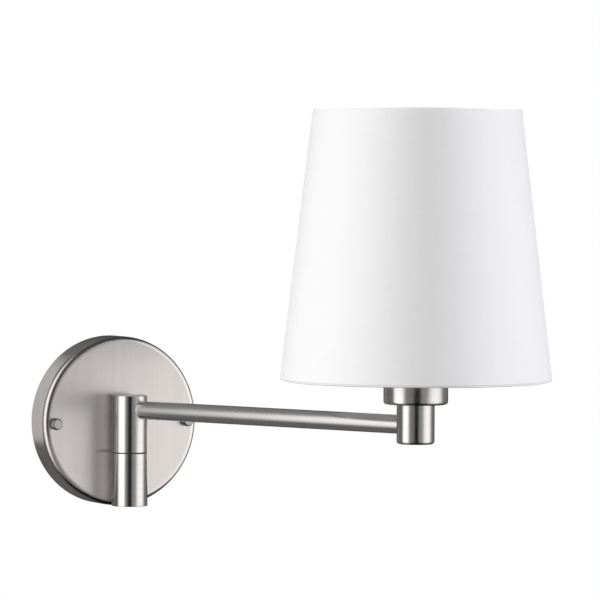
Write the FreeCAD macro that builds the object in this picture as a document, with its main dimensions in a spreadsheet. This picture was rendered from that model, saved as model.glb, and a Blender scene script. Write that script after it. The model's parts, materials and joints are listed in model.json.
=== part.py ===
"""Swing arm wall sconce.

The origin is the centre of the canopy's back on the wall plane. +Z is up, +Y goes into the
wall, -Y comes out into the room and +X is to the right. Lengths are in millimetres.

Three placements are used. A wall piece is drawn with its own Z pointing out of the wall. A post
piece is drawn about the upright pivot axis. An arm piece is drawn with the arm pointing straight
out of the wall along -Y, and is then turned about the pivot axis to the rest position.
"""
import FreeCAD, Part
import Sketcher
import math
import os
import re

Vector = FreeCAD.Vector

SIZES = [
    # wall canopy and the bracket behind it
    ("canopy_radius", 60, "canopy, outer radius"),
    ("canopy_depth", 21.8, "canopy, depth from the wall"),
    ("canopy_wall", 1.2, "canopy, sheet thickness"),
    ("canopy_edge", 4.5, "canopy, rounding of the front edge"),
    ("bar_thickness", 1.6, "mounting bar, thickness"),
    ("bar_reach", 57, "mounting bar, half length across"),
    ("bar_rise", 52, "mounting bar, half length upright"),
    ("bar_half_width", 10, "mounting bar, half width of each arm"),
    ("slot_centre", 39.7, "box slots, distance from the centre"),
    ("slot_length", 14, "box slots, end to end"),
    ("slot_radius", 2.2, "box slots, half width"),
    ("wire_hole", 10, "mounting bar, radius of the wire hole"),
    ("stud_spread", 51.5, "canopy studs, distance from the centre"),
    ("stud_rise", -0.8, "canopy studs, height of their axes"),
    ("stud_radius", 1.95, "canopy studs, radius"),
    ("stud_length", 24.2, "canopy studs, length"),
    ("stud_clearance", 2.3, "canopy, radius of the stud holes"),
    ("thread_gap", 0.03, "radial gap in a screwed joint"),
    ("nut_across", 3.5, "stud lock nuts, half width across the flats"),
    ("nut_height", 3.2, "stud lock nuts, height"),
    ("cap_radius", 4.1, "cap nuts, radius"),
    ("cap_height", 4.2, "cap nuts, height"),
    ("cap_edge", 1.2, "cap nuts, rounding of the front edge"),
    ("ground_across", -24, "ground screw, place on the bar"),
    ("ground_head", 4, "ground screw, head radius"),
    ("tag_thickness", 0.8, "ring terminals, thickness"),
    # hollow nipple that carries the lower post
    ("nipple_drop", -39.5, "post nipple, height of its axis"),
    ("nipple_radius", 4.95, "hollow nipples, outer radius"),
    ("nipple_bore", 3.5, "hollow nipples, inner radius"),
    ("nipple_back", 11.3, "post nipple, distance of its back end from the wall"),
    ("nipple_front", 26.2, "post nipple, distance of its front end from the wall"),
    ("washer_thickness", 0.8, "nipple washer, thickness"),
    ("washer_radius", 8.6, "nipple washer, radius"),
    ("nipple_nut_across", 7, "nipple nuts, half width across the flats"),
    ("nipple_nut_height", 3, "nipple nuts, height"),
    ("standoff_radius", 7, "standoff collar, radius"),
    # wall posts and the swivel between them
    ("post_radius", 12.7, "wall posts and end post, radius"),
    ("post_bore", 10.5, "wall posts, bore radius"),
    ("post_edge", 0.3, "wall posts, rounding of the edges"),
    ("post_offset", 35.2, "pivot axis, distance from the wall"),
    ("lower_foot", -59, "lower post, bottom"),
    ("lower_head", -21.6, "lower post, top"),
    ("lower_floor", -26.6, "lower post, underside of its top wall"),
    ("upper_foot", -21, "upper post, bottom"),
    ("upper_floor", -15, "upper post, top of its bottom wall"),
    ("upper_head", 19, "upper post, top"),
    ("plug_thickness", 2.5, "post plugs, thickness"),
    ("pivot_radius", 6, "pivot tube, outer radius"),
    ("pivot_bore", 4, "pivot tube, inner radius"),
    ("pivot_foot", -34.5, "pivot tube, bottom"),
    ("pivot_head", -9, "pivot tube, top"),
    ("running_gap", 0.04, "radial clearance of the pivot and of the lamp threads"),
    ("face_gap", 0.05, "clearance between faces that slide on each other"),
    ("bush_radius", 8, "pivot bush, outer radius"),
    ("bush_flange", 10.2, "pivot bush, flange radius"),
    ("bush_flange_thickness", 1, "pivot bush, flange thickness"),
    ("seam_radius", 12, "friction washer, outer radius"),
    ("spring_washer_radius", 9.5, "spring washer, outer radius"),
    ("pivot_nut_across", 8.4, "pivot nuts, half width across the flats"),
    ("pivot_nut_height", 4.5, "pivot nuts, height"),
    ("stop_orbit", 9.3, "stop pin, distance from the pivot axis"),
    ("stop_radius", 1, "stop pin, radius"),
    ("stop_foot", -25, "stop pin, bottom"),
    ("stop_head", -18.4, "stop pin, top"),
    ("groove_half_width", 1.25, "stop groove, half width"),
    ("groove_roof", -18, "stop groove, roof"),
    ("swing_limit", 75, "arm, angle from straight out at each stop"),
    # arm and end post
    ("rest_turn", 22.5, "arm, angle from straight out at rest"),
    ("arm_reach", 254, "arm, distance between the two post axes"),
    ("arm_height", 9, "arm, height of its axis"),
    ("arm_radius", 6.35, "arm tube, outer radius"),
    ("arm_bore", 5, "arm tube, inner radius"),
    ("nipple_near", 10, "arm nipples, near end from the post axis"),
    ("nipple_far", 27, "arm nipples, far end from the post axis"),
    ("end_foot", -3.5, "end post, bottom"),
    ("end_head", 23, "end post, top"),
    ("end_floor", 18, "end post, underside of its top wall"),
    ("end_bore", 9.7, "end post, bore radius"),
    ("end_edge", 2, "end post, rounding of the bottom edge"),
    ("end_plug", 2, "end post plug, thickness"),
    # socket cup and lamp holder
    ("cup_radius", 21.6, "socket cup, outer radius"),
    ("cup_wall", 1.2, "socket cup, wall thickness"),
    ("cup_edge", 2.2, "socket cup, rounding of the bottom edge"),
    ("cup_head", 55, "socket cup, rim"),
    ("cup_nipple_foot", 15, "cup nipple, bottom"),
    ("cup_nipple_head", 31, "cup nipple, top"),
    ("holder_foot", 28, "lamp holder cap, bottom"),
    ("holder_neck", 10, "lamp holder cap, radius at its bottom"),
    ("holder_radius", 19.4, "lamp holder, outer radius"),
    ("holder_wall", 1.6, "lamp holder, wall thickness"),
    ("holder_shoulder", 34, "lamp holder cap, height of its shoulder"),
    ("holder_split", 41.2, "lamp holder, joint of cap and skirt"),
    ("holder_rim", 68, "lamp holder skirt, rim"),
    ("skirt_bore", 15.4, "lamp holder skirt, bore radius"),
    ("lip_radius", 13.5, "lamp holder skirt, bore radius of its bottom lip"),
    ("lip_head", 43, "lamp holder skirt, top of its bottom lip"),
    ("insulator_foot", 38, "socket insulator, bottom"),
    ("insulator_head", 45, "socket insulator, top"),
    ("rivet_radius", 1.6, "contact rivet and terminal screws, radius"),
    ("terminal_spread", 9, "terminal screws, distance from the lamp axis"),
    ("terminal_foot", 35.8, "terminal screws, underside of the head"),
    ("contact_head", 47, "centre contact, top"),
    ("shell_bore", 13.25, "screw shell, inner radius"),
    ("shell_wall", 0.5, "screw shell, thickness"),
    ("shell_head", 66, "screw shell, rim"),
    ("clamp_foot", 56.1, "shade ring, bottom"),
    ("clamp_head", 62, "shade ring, top"),
    ("clamp_radius", 24, "shade ring, outer radius"),
    # shade
    ("shade_foot", 39.2, "shade, bottom edge"),
    ("shade_head", 220, "shade, top edge"),
    ("shade_foot_radius", 91, "shade, outer radius at the bottom"),
    ("shade_head_radius", 69.5, "shade, outer radius at the top"),
    ("fabric_thickness", 0.5, "shade fabric, thickness"),
    ("liner_thickness", 0.7, "shade liner, thickness"),
    ("hoop_wire", 1.2, "shade hoops, wire radius"),
    ("hoop_inset", 2.4, "shade hoops, height of the wire's centre from the shade's edge"),
    ("spoke_wire", 1.5, "fitter spokes, wire radius"),
    ("fitter_radius", 28, "fitter plate, outer radius"),
    ("fitter_bore", 20, "fitter plate, hole radius"),
    ("fitter_thickness", 1, "fitter plate, thickness"),
    # bulb
    ("bulb_contact_foot", 47.4, "bulb, end contact"),
    ("bulb_insulator_foot", 48.6, "bulb, bottom of the black insulator"),
    ("bulb_base_foot", 51, "bulb, bottom of the screw base"),
    ("bulb_base_head", 73, "bulb, top of the screw base"),
    ("bulb_base_radius", 13.2, "bulb, radius of the screw base"),
    ("bulb_neck_radius", 12.6, "bulb, neck radius"),
    ("bulb_neck_head", 76, "bulb, top of the straight neck"),
    ("bulb_radius", 30, "bulb, radius of the globe"),
    ("bulb_taper", 20, "bulb, angle below the equator where the globe meets its taper"),
    ("bulb_glass", 0.8, "bulb, glass thickness"),
    # wiring
    ("cable_radius", 2.2, "flexible cable, radius"),
    ("cable_bend", 8.5, "flexible cable, bend radius inside the posts"),
    ("cable_joint", -29.6, "height where the wall and arm cables meet inside the pivot tube"),
    ("cable_depth", 5.8, "wall cable, distance from the wall behind the canopy"),
    ("cable_tail", -14, "wall cable, end of its sheath behind the canopy"),
    ("core_radius", 0.9, "cable cores, radius"),
    ("connector_spread", 9, "wire connectors, distance from the centre"),
    ("connector_foot", 4, "wire connectors, open end"),
    ("connector_length", 16, "wire connectors, length"),
    ("connector_radius", 4.8, "wire connectors, radius of the open end"),
    ("connector_tip", 3.2, "wire connectors, radius of the closed end"),
]
NAMES = {name for name, size, note in SIZES}

doc = FreeCAD.newDocument("swing_arm_sconce")
pieces = []


def write_sheet():
    """One row per driving dimension: what it is, then its value with an alias."""
    sheet = doc.addObject("Spreadsheet::Sheet", "Dims")
    for row, (name, size, note) in enumerate(SIZES, start=1):
        sheet.set(f"A{row}", note)
        sheet.set(f"B{row}", str(size))
        sheet.setAlias(f"B{row}", name)
    doc.recompute()
    return sheet


def bound(text):
    """An expression over size names, as the spreadsheet's aliases."""
    return re.sub(r"[a-z]\w*", lambda word: "Dims." + word[0] if word[0] in NAMES else word[0], text)


def size(text):
    return float(dims.evalExpression(bound(text)))


def bind(thing, bindings):
    for name, text in bindings.items():
        thing.setExpression(name, bound(text))


def keep(thing, label):
    """Names a finished piece and marks it for writing."""
    thing.Label = label
    pieces.append(thing)
    return thing


# ---- placements ----

def on_wall(thing, across="0", up="0", out="0"):
    """The piece's own Z points out of the wall and its own Y points up."""
    thing.Placement = FreeCAD.Placement(Vector(0, 0, 0), FreeCAD.Rotation(Vector(1, 0, 0), 90))
    bind(thing, {"Placement.Base.x": across, "Placement.Base.y": f"-({out})", "Placement.Base.z": up})
    return thing


def on_post(thing):
    bind(thing, {"Placement.Base.y": "-post_offset"})
    return thing


def on_arm(thing, reach="0"):
    """Puts a piece drawn at the arm's start at a distance along the arm, at the rest angle."""
    bind(thing, {
        "Placement.Rotation.Angle": "rest_turn",
        "Placement.Base.x": f"({reach}) * sin(rest_turn)",
        "Placement.Base.y": f"-post_offset - ({reach}) * cos(rest_turn)",
    })
    return thing


def on_lamp(thing):
    return on_arm(thing, "arm_reach")


# ---- PartDesign helpers ----

def new_sketch(body, plane, height="0"):
    sketch = body.newObject("Sketcher::SketchObject", "Sketch")
    support = [feature for feature in body.Origin.OriginFeatures if feature.Role == plane][0]
    sketch.AttachmentSupport = [(support, "")]
    sketch.MapMode = "FlatFace"
    bind(sketch, {"AttachmentOffset.Base.z": height})
    return sketch


def pin_point(sketch, shape, point, x_text, y_text):
    """Holds one point of a sketch shape at coordinates bound to the sheet."""
    for kind, text in (("DistanceX", x_text), ("DistanceY", y_text)):
        index = sketch.addConstraint(Sketcher.Constraint(kind, shape, point, size(text)))
        sketch.setExpression(f"Constraints[{index}]", bound(text))


def draw_outline(sketch, corners):
    """A closed polygon through corners, each bound to the sheet."""
    first = sketch.GeometryCount
    spots = [Vector(size(x), size(y), 0) for x, y in corners]
    count = len(spots)
    for index in range(count):
        sketch.addGeometry(Part.LineSegment(spots[index], spots[(index + 1) % count]))
    for index, (x_text, y_text) in enumerate(corners):
        after = first + (index + 1) % count
        sketch.addConstraint(Sketcher.Constraint("Coincident", first + index, 2, after, 1))
        pin_point(sketch, first + index, 1, x_text, y_text)


def draw_circle(sketch, x_text, y_text, radius_text):
    centre = Vector(size(x_text), size(y_text), 0)
    shape = sketch.addGeometry(Part.Circle(centre, Vector(0, 0, 1), size(radius_text)))
    index = sketch.addConstraint(Sketcher.Constraint("Radius", shape, size(radius_text)))
    sketch.setExpression(f"Constraints[{index}]", bound(radius_text))
    pin_point(sketch, shape, 3, x_text, y_text)


def turned(name, corners):
    """A body turned about its own Z axis from (radius, height) corners."""
    body = doc.addObject("PartDesign::Body", name + "_body")
    sketch = new_sketch(body, "XZ_Plane")
    draw_outline(sketch, corners)
    spin = body.newObject("PartDesign::Revolution", "Turning")
    spin.Profile = sketch
    spin.ReferenceAxis = (sketch, ["V_Axis"])
    spin.Angle = 360
    sketch.Visibility = False
    doc.recompute()
    return body


def tube(name, bore, radius, low, high):
    return turned(name, [(bore, low), (radius, low), (radius, high), (bore, high)])


def disc(name, radius, low, high):
    return turned(name, [("0", low), (radius, low), (radius, high), ("0", high)])


def rounded(body, radius, corners):
    """Rounds the circular edges at the given (radius, height) corners of a turned body."""
    base = body.Tip
    names = []
    for ring_text, height_text in corners:
        for index, edge in enumerate(base.Shape.Edges, start=1):
            ring = isinstance(edge.Curve, Part.Circle) and abs(edge.Curve.Radius - size(ring_text)) < 0.01
            if ring and abs(edge.Curve.Center.z - size(height_text)) < 0.01:
                names.append(f"Edge{index}")
    fillet = body.newObject("PartDesign::Fillet", "Rounding")
    fillet.Base = (base, names)
    bind(fillet, {"Radius": radius})
    doc.recompute()
    return body


def cut_through(body, sketch, one_side=False, backwards=False):
    """Pockets a sketch right through the body and makes sure that it cut something."""
    before = body.Tip.Shape.Volume
    pocket = body.newObject("PartDesign::Pocket", "Hole")
    pocket.Profile = sketch
    pocket.Type = "ThroughAll"
    pocket.Midplane = not one_side
    pocket.Reversed = backwards
    sketch.Visibility = False
    doc.recompute()
    if pocket.Shape.Volume > before - 0.01:
        raise RuntimeError(f"a hole in {body.Name} cuts nothing")
    return body


def drilled(body, holes):
    """Holes along the body's own Z, each (x, y, radius)."""
    sketch = new_sketch(body, "XY_Plane")
    for x_text, y_text, radius_text in holes:
        draw_circle(sketch, x_text, y_text, radius_text)
    return cut_through(body, sketch)


def side_drilled(body, height, radius, backwards):
    """A hole through one side of a post, towards -Y or, if backwards, towards +Y."""
    sketch = new_sketch(body, "XZ_Plane")
    draw_circle(sketch, "0", height, radius)
    return cut_through(body, sketch, one_side=True, backwards=backwards)


# ---- Part helpers ----

def cylinder(radius, low, high, x="0", y="0"):
    shape = doc.addObject("Part::Cylinder", "Cylinder")
    bind(shape, {
        "Radius": radius,
        "Height": f"({high}) - ({low})",
        "Placement.Base.x": x,
        "Placement.Base.y": y,
        "Placement.Base.z": low,
    })
    return shape


def cone(low_radius, high_radius, low, high):
    shape = doc.addObject("Part::Cone", "Cone")
    bind(shape, {
        "Radius1": low_radius,
        "Radius2": high_radius,
        "Height": f"({high}) - ({low})",
        "Placement.Base.z": low,
    })
    return shape


def cut(base, tool):
    shape = doc.addObject("Part::Cut", "Cut")
    shape.Base = base
    shape.Tool = tool
    return shape


def fused(shapes):
    shape = doc.addObject("Part::MultiFuse", "Fusion")
    shape.Shapes = shapes
    return shape


def grouped(shapes):
    """Separate solids that share one node."""
    shape = doc.addObject("Part::Compound", "Group")
    shape.Links = shapes
    return shape


def mirrored(shape):
    """The same shape on the other side of the middle plane."""
    twin = doc.addObject("Part::Mirroring", "Twin")
    twin.Source = shape
    twin.Normal = Vector(1, 0, 0)
    return twin


def hexagon(half_across, bore, low, high):
    prism = doc.addObject("Part::Prism", "Prism")
    prism.Polygon = 6
    bind(prism, {
        "Circumradius": f"({half_across}) / cos(30)",
        "Height": f"({high}) - ({low})",
        "Placement.Base.z": low,
    })
    return cut(prism, cylinder(bore, low, high))


def bent_tube(name, corners, bend, radius):
    """A round cable along straight runs that are joined by tangent arcs of one bend radius."""
    edges = []
    start = corners[0]
    for before, corner, after in zip(corners, corners[1:], corners[2:]):
        inward = (corner - before).normalize()
        outward = (after - corner).normalize()
        turn = inward.getAngle(outward)
        trim = bend * math.tan(turn / 2)
        first = corner - inward * trim
        last = corner + outward * trim
        bisector = (outward - inward).normalize()
        middle = corner + bisector * (bend / math.cos(turn / 2) - bend)
        edges.append(Part.LineSegment(start, first).toShape())
        edges.append(Part.Arc(first, middle, last).toShape())
        start = last
    edges.append(Part.LineSegment(start, corners[-1]).toShape())
    path = Part.Wire(edges)
    heading = (corners[1] - corners[0]).normalize()
    section = Part.Wire(Part.Circle(corners[0], heading, radius).toShape())
    solid = path.makePipeShell([section], True, False)
    expected = math.pi * radius ** 2 * path.Length
    if abs(solid.Volume - expected) > 0.01 * expected:
        raise RuntimeError(f"{name} has the wrong volume")
    feature = doc.addObject("Part::Feature", name + "_run")
    feature.Shape = solid
    return feature


# ---- wall canopy and bracket ----

def make_canopy():
    inner = "canopy_radius - canopy_wall"
    ceiling = "canopy_depth - canopy_wall"
    body = turned("canopy", [
        ("0", ceiling), (inner, ceiling), (inner, "0"),
        ("canopy_radius", "0"), ("canopy_radius", "canopy_depth"), ("0", "canopy_depth"),
    ])
    rounded(body, "canopy_edge", [("canopy_radius", "canopy_depth")])
    rounded(body, "canopy_edge - canopy_wall", [(inner, ceiling)])
    drilled(body, [
        ("stud_spread", "stud_rise", "stud_clearance"),
        ("-stud_spread", "stud_rise", "stud_clearance"),
        ("0", "nipple_drop", "nipple_radius + thread_gap"),
    ])
    keep(on_wall(body), "canopy")


def make_mounting_bar():
    body = doc.addObject("PartDesign::Body", "mounting_bar_body")
    outline = new_sketch(body, "XY_Plane")
    long, tall, half = "bar_reach", "bar_rise", "bar_half_width"
    draw_outline(outline, [
        (long, f"-{half}"), (long, half), (half, half), (half, tall), (f"-{half}", tall),
        (f"-{half}", half), (f"-{long}", half), (f"-{long}", f"-{half}"), (f"-{half}", f"-{half}"),
        (f"-{half}", f"-{tall}"), (half, f"-{tall}"), (half, f"-{half}"),
    ])
    plate = body.newObject("PartDesign::Pad", "Plate")
    plate.Profile = outline
    bind(plate, {"Length": "bar_thickness"})
    doc.recompute()
    straight = "slot_length / 2 - slot_radius"
    drilled(body, [
        ("stud_spread", "stud_rise", "stud_radius + thread_gap"),
        ("-stud_spread", "stud_rise", "stud_radius + thread_gap"),
        ("0", "0", "wire_hole"),
        ("ground_across", "0", "stud_radius + thread_gap"),
    ])
    for side in ("", "-"):
        low = f"{side}slot_centre - ({straight})"
        high = f"{side}slot_centre + ({straight})"
        middle = new_sketch(body, "XY_Plane")
        draw_outline(middle, [
            ("-slot_radius", low), ("slot_radius", low), ("slot_radius", high), ("-slot_radius", high),
        ])
        cut_through(body, middle)
        drilled(body, [("0", low, "slot_radius")])
        drilled(body, [("0", high, "slot_radius")])
    keep(on_wall(body), "mounting_bar")


def on_stud(thing, out="0"):
    """Places a piece on the right hand stud. Gives it with its twin on the left."""
    placed = on_wall(thing, across="stud_spread", up="stud_rise", out=out)
    return grouped([placed, mirrored(placed)])


def make_canopy_fasteners():
    keep(on_stud(cylinder("stud_radius", "0", "stud_length")), "canopy_studs")

    bore = "stud_radius + thread_gap"
    nut = hexagon("nut_across", bore, "0", "nut_height")
    keep(on_stud(nut, out="bar_thickness"), "stud_lock_nuts")

    blind = "stud_length - canopy_depth + 0.3"
    cap = turned("cap_nut", [
        (bore, "0"), ("cap_radius", "0"), ("cap_radius", "cap_height"),
        ("0", "cap_height"), ("0", blind), (bore, blind),
    ])
    rounded(cap, "cap_edge", [("cap_radius", "cap_height")])
    keep(on_stud(cap, out="canopy_depth"), "cap_nuts")


def make_ground():
    """The green screw on the bar, and the wire from it to the post nipple with its ring terminals."""
    head_foot = "bar_thickness + tag_thickness"
    screw = turned("ground_screw", [
        ("0", "0.1"), ("stud_radius", "0.1"), ("stud_radius", head_foot), ("ground_head", head_foot),
        ("ground_head", f"{head_foot} + 2.2"), ("0", f"{head_foot} + 2.2"),
    ])
    rounded(screw, "1.2", [("ground_head", f"{head_foot} + 2.2")])
    keep(on_wall(screw, across="ground_across"), "ground_screw")

    screw_tag = cut(cylinder("ground_head", "0", "tag_thickness"),
                    cylinder("stud_radius + 0.1", "0", "tag_thickness"))
    on_wall(screw_tag, across="ground_across", out="bar_thickness")
    nut_face = "canopy_depth - canopy_wall - washer_thickness - tag_thickness"
    nipple_tag = cut(cylinder("washer_radius", "0", "tag_thickness"),
                     cylinder("nipple_radius + 0.1", "0", "tag_thickness"))
    on_wall(nipple_tag, up="nipple_drop", out=nut_face)
    corners = [
        Vector(size("ground_across"), -size("bar_thickness") - 1.1, -4.3),
        Vector(size("ground_across"), -4.5, -16),
        Vector(-15, -11, -32),
        Vector(-9.6, -size(nut_face) - 0.4, size("nipple_drop") + 1),
    ]
    wire = bent_tube("ground_wire", corners, 5, 0.7)
    keep(grouped([wire, screw_tag, nipple_tag]), "ground_wire")


def make_post_nipple():
    nipple = tube("post_nipple", "nipple_bore", "nipple_radius", "nipple_back", "nipple_front")
    keep(on_wall(nipple, up="nipple_drop"), "post_nipple")

    ceiling = "canopy_depth - canopy_wall"
    washer = tube("nipple_washer", "nipple_radius + 0.1", "washer_radius",
                  f"{ceiling} - washer_thickness", ceiling)
    keep(on_wall(washer, up="nipple_drop"), "nipple_washer")

    face = f"{ceiling} - washer_thickness - tag_thickness"
    nut = hexagon("nipple_nut_across", "nipple_radius + thread_gap", f"{face} - nipple_nut_height", face)
    keep(on_wall(nut, up="nipple_drop"), "nipple_nut")

    collar = cylinder("standoff_radius", "canopy_depth", "post_offset - post_radius + 3")
    bore = cylinder("nipple_radius + thread_gap", "canopy_depth - 1", "post_offset")
    ring = on_wall(cut(collar, bore), up="nipple_drop")
    post = on_post(cylinder("post_radius", "lower_foot", "lower_head"))
    keep(cut(ring, post), "post_standoff")


# ---- lower post, fixed to the canopy ----

def make_lower_post():
    body = turned("lower_post", [
        ("post_bore", "lower_foot"), ("post_radius", "lower_foot"), ("post_radius", "lower_head"),
        ("bush_radius", "lower_head"), ("bush_radius", "lower_floor"), ("post_bore", "lower_floor"),
    ])
    rounded(body, "post_edge", [("post_radius", "lower_foot"), ("post_radius", "lower_head")])
    side_drilled(body, "nipple_drop", "nipple_radius + thread_gap", backwards=False)
    pin_hole = cylinder("stop_radius", "stop_foot", "lower_head + 1", y="stop_orbit")
    keep(on_post(cut(body, pin_hole)), "lower_post")

    plug = disc("lower_post_plug", "post_bore - thread_gap", "lower_foot", "lower_foot + plug_thickness")
    keep(on_post(plug), "lower_post_plug")


def make_swivel_seat():
    """The pieces in the lower post that the pivot tube turns in."""
    bush_bore = "pivot_radius + running_gap"
    flange_foot = "lower_floor - bush_flange_thickness"
    bush = turned("pivot_bush", [
        (bush_bore, flange_foot), ("bush_flange", flange_foot), ("bush_flange", "lower_floor"),
        ("bush_radius", "lower_floor"), ("bush_radius", "lower_head"), (bush_bore, "lower_head"),
    ])
    keep(on_post(bush), "pivot_bush")

    washer = tube("friction_washer", "pivot_radius + 0.2", "seam_radius",
                  "lower_head", "upper_foot - face_gap")
    drilled(washer, [("0", "stop_orbit", "stop_radius + 0.05")])
    keep(on_post(washer), "friction_washer")

    spring = tube("spring_washer", "pivot_radius + 0.3", "spring_washer_radius",
                  f"{flange_foot} - 1", flange_foot)
    keep(on_post(spring), "spring_washer")

    pin = cylinder("stop_radius", "stop_foot", "stop_head", y="stop_orbit - post_offset")
    keep(pin, "stop_pin")


# ---- upper post and arm, which swing ----

def make_upper_post():
    bore = "pivot_radius + thread_gap"
    body = turned("upper_post", [
        (bore, "upper_foot"), ("post_radius", "upper_foot"), ("post_radius", "upper_head"),
        ("post_bore", "upper_head"), ("post_bore", "upper_floor"), (bore, "upper_floor"),
    ])
    rounded(body, "post_edge", [("post_radius", "upper_foot"), ("post_radius", "upper_head")])
    side_drilled(body, "arm_height", "nipple_radius + thread_gap", backwards=True)

    span = "2 * swing_limit + 2"
    start = f"90 - ({span}) / 2"
    low = "upper_foot - 1"
    sector = cylinder("stop_orbit + groove_half_width", low, "groove_roof")
    bind(sector, {"Angle": span, "Placement.Rotation.Angle": start})
    arc = cut(sector, cylinder("stop_orbit - groove_half_width", low, "groove_roof"))
    ends = []
    for side in ("", f" + {span}"):
        angle = f"({start}{side})"
        x = f"stop_orbit * cos({angle})"
        y = f"stop_orbit * sin({angle})"
        ends.append(cylinder("groove_half_width", low, "groove_roof", x, y))
    keep(on_arm(cut(body, fused([arc] + ends))), "upper_post")

    cap = disc("upper_post_cap", "post_bore - thread_gap", "upper_head - plug_thickness", "upper_head")
    keep(on_arm(cap), "upper_post_cap")


def make_pivot():
    pivot = tube("pivot_tube", "pivot_bore", "pivot_radius", "pivot_foot", "pivot_head")
    keep(on_arm(pivot), "pivot_tube")

    bore = "pivot_radius + thread_gap"
    clamp = hexagon("pivot_nut_across", bore, "upper_floor", "upper_floor + pivot_nut_height")
    keep(on_arm(clamp), "pivot_upper_nut")

    head = "lower_floor - bush_flange_thickness - 1 - face_gap"
    nut = hexagon("pivot_nut_across", bore, f"{head} - pivot_nut_height", head)
    keep(on_arm(nut), "pivot_lower_nut")


def along_arm(thing, near, height="arm_height"):
    """Lays a piece drawn along its own Z along the arm, from a distance off the pivot axis."""
    thing.Placement = FreeCAD.Placement(Vector(0, 0, 0), FreeCAD.Rotation(Vector(1, 0, 0), 90))
    bind(thing, {"Placement.Base.y": f"-({near})", "Placement.Base.z": height})
    return thing


def make_arm():
    length = "arm_reach"
    pipe = along_arm(cut(cylinder("arm_radius", "0", length), cylinder("arm_bore", "0", length)), "0")
    posts = fused([
        cylinder("post_radius", "-arm_height", "3 * arm_height"),
        cylinder("post_radius", "-arm_height", "3 * arm_height", y="-arm_reach"),
    ])
    keep(on_arm(cut(pipe, posts)), "arm_tube")

    nipples = []
    for near, far in (("nipple_near", "nipple_far"), ("arm_reach - nipple_far", "arm_reach - nipple_near")):
        stock = cut(cylinder("nipple_radius", near, far), cylinder("nipple_bore", near, far))
        nipples.append(along_arm(stock, "0"))
    keep(on_arm(grouped(nipples)), "arm_nipples")


def make_end_post():
    hole = "nipple_radius + thread_gap"
    body = turned("end_post", [
        ("end_bore", "end_foot"), ("post_radius", "end_foot"), ("post_radius", "end_head"),
        (hole, "end_head"), (hole, "end_floor"), ("end_bore", "end_floor"),
    ])
    rounded(body, "end_edge", [("post_radius", "end_foot")])
    side_drilled(body, "arm_height", hole, backwards=False)
    keep(on_lamp(body), "end_post")

    plug = disc("end_post_plug", "end_bore - thread_gap", "end_foot", "end_foot + end_plug")
    keep(on_lamp(plug), "end_post_plug")


# ---- socket cup and lamp holder ----

def make_socket_cup():
    inner = "cup_radius - cup_wall"
    floor = "end_head + cup_wall"
    hole = "nipple_radius + thread_gap"
    cup = turned("socket_cup", [
        (hole, "end_head"), ("cup_radius", "end_head"), ("cup_radius", "cup_head"),
        (inner, "cup_head"), (inner, floor), (hole, floor),
    ])
    rounded(cup, "cup_edge", [("cup_radius", "end_head")])
    rounded(cup, "cup_edge - cup_wall", [(inner, floor)])
    keep(on_lamp(cup), "socket_cup")

    nipple = tube("cup_nipple", "nipple_bore", "nipple_radius", "cup_nipple_foot", "cup_nipple_head")
    keep(on_lamp(nipple), "cup_nipple")

    nut = hexagon("nipple_nut_across", hole, floor, f"{floor} + nipple_nut_height")
    keep(on_lamp(nut), "cup_nipple_nut")


def make_lamp_holder():
    hole = "nipple_radius + thread_gap"
    inner = "holder_radius - holder_wall"
    floor = "holder_foot + holder_wall"
    cap = turned("lampholder_cap", [
        (hole, "holder_foot"), ("holder_neck", "holder_foot"), ("holder_radius", "holder_shoulder"),
        ("holder_radius", "holder_split"), (inner, "holder_split"), (inner, "holder_shoulder + 1"),
        ("holder_neck - 0.6", floor), (hole, floor),
    ])
    keep(on_lamp(cap), "lampholder_cap")

    skirt = turned("lampholder_skirt", [
        ("lip_radius", "holder_split"), ("holder_radius", "holder_split"), ("holder_radius", "holder_rim"),
        ("skirt_bore", "holder_rim"), ("skirt_bore", "lip_head"), ("lip_radius", "lip_head"),
    ])
    keep(on_lamp(skirt), "lampholder_skirt")

    insulator = turned("socket_insulator", [
        ("rivet_radius", "insulator_foot"), ("lip_radius - 0.2", "insulator_foot"),
        ("lip_radius - 0.2", "lip_head"), ("skirt_bore - 0.2", "lip_head"),
        ("skirt_bore - 0.2", "insulator_head"), ("rivet_radius", "insulator_head"),
    ])
    drilled(insulator, [("terminal_spread", "0", "rivet_radius"), ("-terminal_spread", "0", "rivet_radius")])
    keep(on_lamp(insulator), "socket_insulator")

    shell_outer = "shell_bore + shell_wall"
    shell_floor = "insulator_head + shell_wall"
    shell = turned("screw_shell", [
        ("shell_bore - 2.5", "insulator_head"), (shell_outer, "insulator_head"), (shell_outer, "shell_head"),
        ("shell_bore", "shell_head"), ("shell_bore", shell_floor), ("shell_bore - 2.5", shell_floor),
    ])
    keep(on_lamp(shell), "screw_shell")

    contact = turned("centre_contact", [
        ("0", "insulator_foot - 1.2"), ("rivet_radius + 1.4", "insulator_foot - 1.2"),
        ("rivet_radius + 1.4", "insulator_foot"), ("rivet_radius", "insulator_foot"),
        ("rivet_radius", "insulator_head"), ("4", "insulator_head"), ("4", "insulator_head + 0.6"),
        ("2.6", "contact_head"), ("0", "contact_head"),
    ])
    keep(on_lamp(contact), "centre_contact")

    screws = []
    for side in ("", "-"):
        spread = f"{side}terminal_spread"
        shank = cylinder("rivet_radius", "insulator_foot", "insulator_head - 0.2", x=spread)
        head = cylinder("rivet_radius + 1.2", "terminal_foot", "insulator_foot", x=spread)
        screws.append(fused([shank, head]))
    keep(on_lamp(grouped(screws)), "terminal_screws")


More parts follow.
